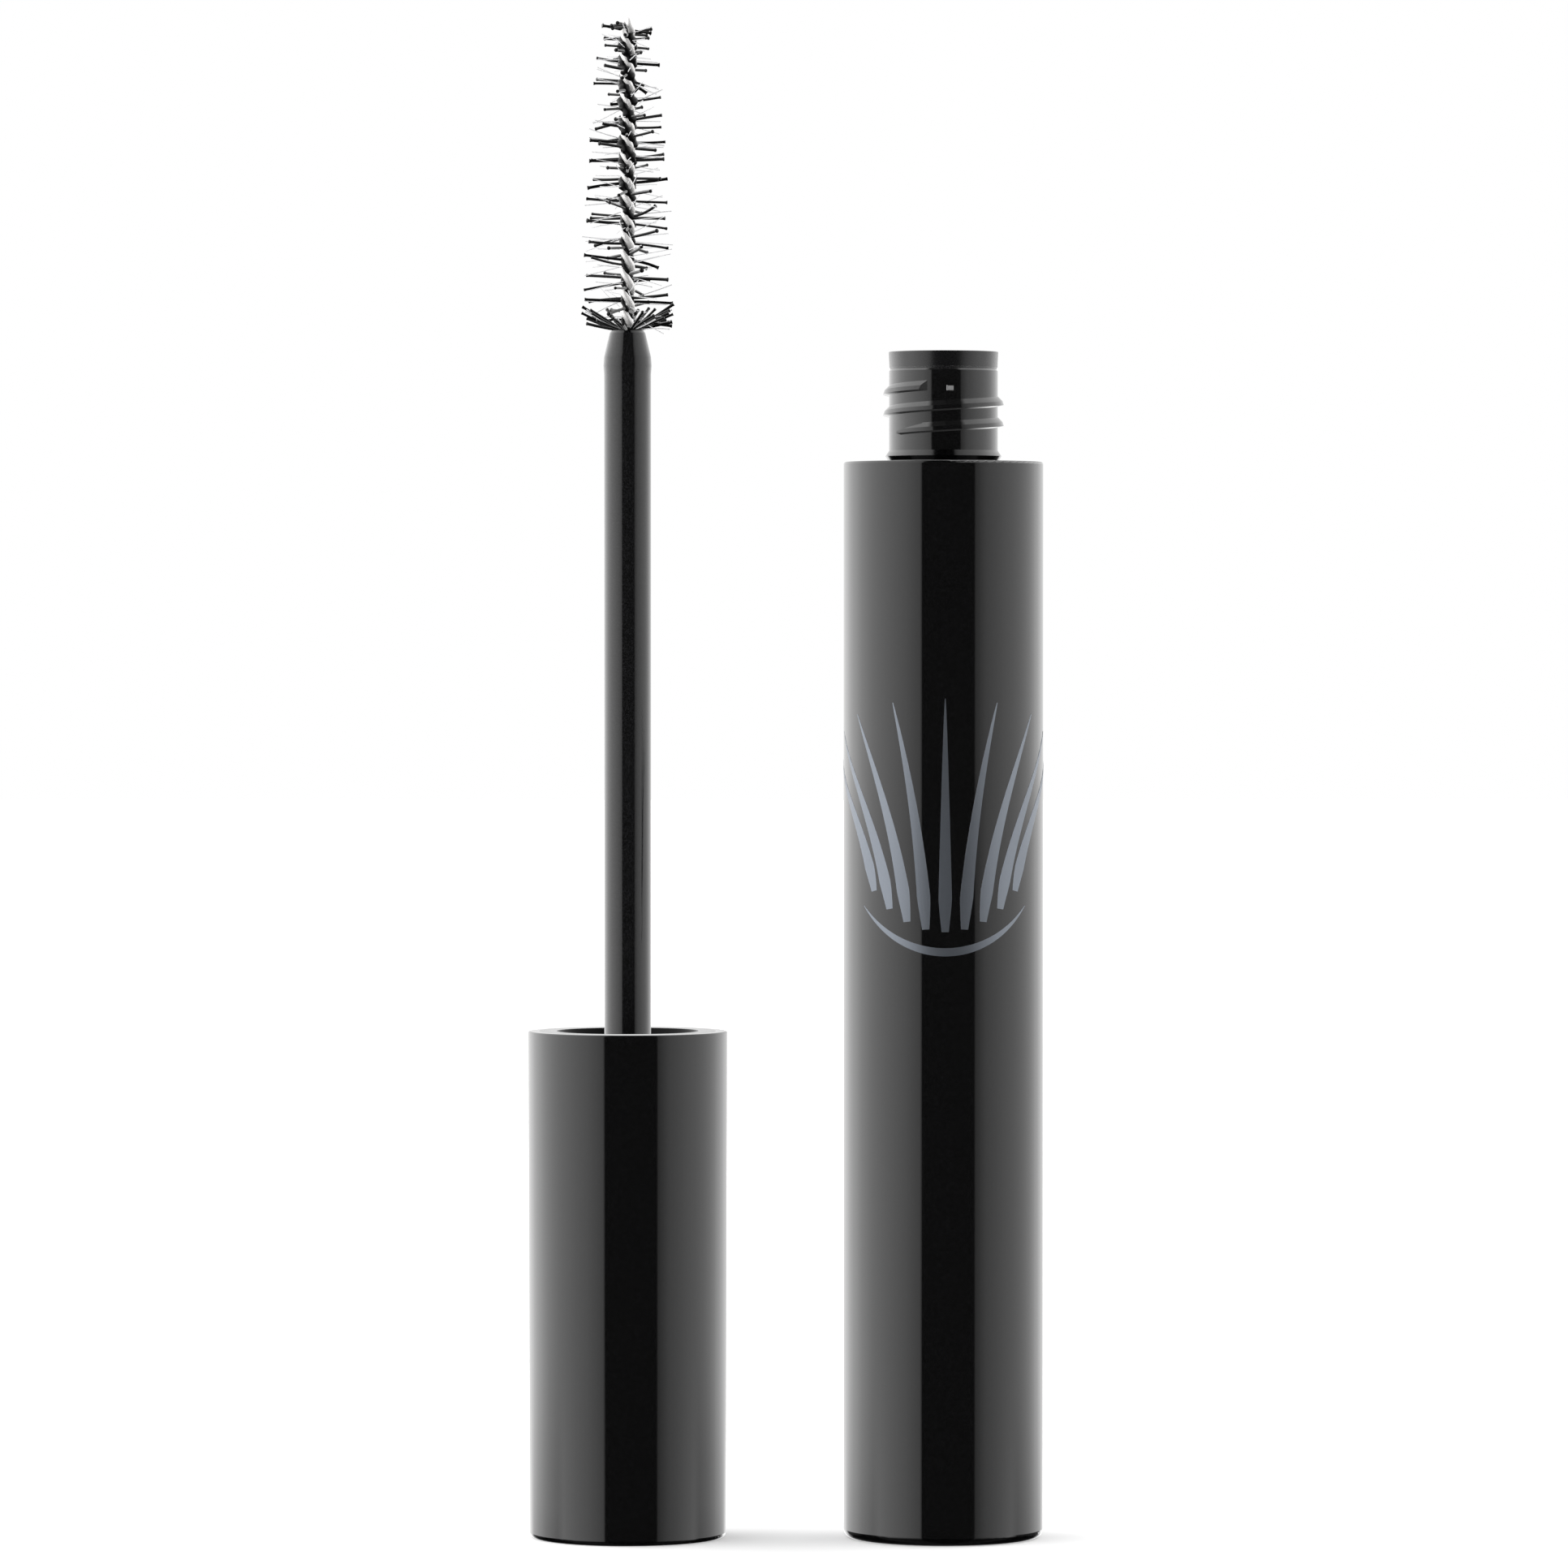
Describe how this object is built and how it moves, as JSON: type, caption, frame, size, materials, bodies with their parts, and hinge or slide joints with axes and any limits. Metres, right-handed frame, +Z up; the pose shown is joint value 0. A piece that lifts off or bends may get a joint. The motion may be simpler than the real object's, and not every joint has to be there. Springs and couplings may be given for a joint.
{
  "type": "mascara tube",
  "caption": "Opened mascara tube: a gloss cylindrical bottle with threaded neck and wiper, and a capped wand with a conical twisted-wire brush.",
  "frame": {"origin": "centre of the bottle's base, on the surface that both halves stand on", "axes": "+Z up along the bottle, +X from the applicator's axis to the bottle's axis, -Y the front"},
  "size_m": [0.0413, 0.016, 0.1218],
  "materials": {
    "gloss_black": "high gloss black, moulded",
    "neck_black": "gloss black, moulded, a little softer than the sleeve",
    "liner_black": "satin black, moulded",
    "wiper_black": "satin black soft plastic",
    "rod_black": "gloss black, moulded",
    "seal_grey": "matt closed-cell foam",
    "wire_steel": "bright drawn stainless wire",
    "fibre_black": "satin black nylon",
    "fibre_pale": "clear nylon, drawn very fine, which looks pale grey",
    "formula_black": "wet black paste",
    "label_white": "plain coated paper",
    "print_silver": "satin silver ink"
  },
  "bodies": {
    "bottle": {"outer_sleeve": "gloss_black", "base_label": "label_white", "inner_bottle": "neck_black", "wiper": "wiper_black", "mascara_formula": "formula_black"},
    "lift_washer": {"cap_seal": "seal_grey"},
    "applicator": {"cap_shell": "gloss_black", "inner_cap": "liner_black", "applicator_rod": "rod_black", "brush_wire": "wire_steel", "fine_bristles": "fibre_pale", "bristle_row_1": "fibre_black", "bristle_row_2": "fibre_black", "bristle_row_3": "fibre_black", "bristle_row_4": "fibre_black", "bristle_row_5": "fibre_black", "bristle_row_6": "fibre_black", "bristle_row_7": "fibre_black", "bristle_row_8": "fibre_black"}
  },
  "joints": [
    {"name": "applicator_lift", "type": "slide", "parent": "bottle", "child": "lift_washer", "axis": [0, 0, 1], "range_m": [0, 0.1]},
    {"name": "applicator_twist", "type": "hinge", "parent": "lift_washer", "child": "applicator", "pos_m": [-0.0253, 0, 0.0314], "axis": [0, 0, 1], "continuous": true}
  ]
}
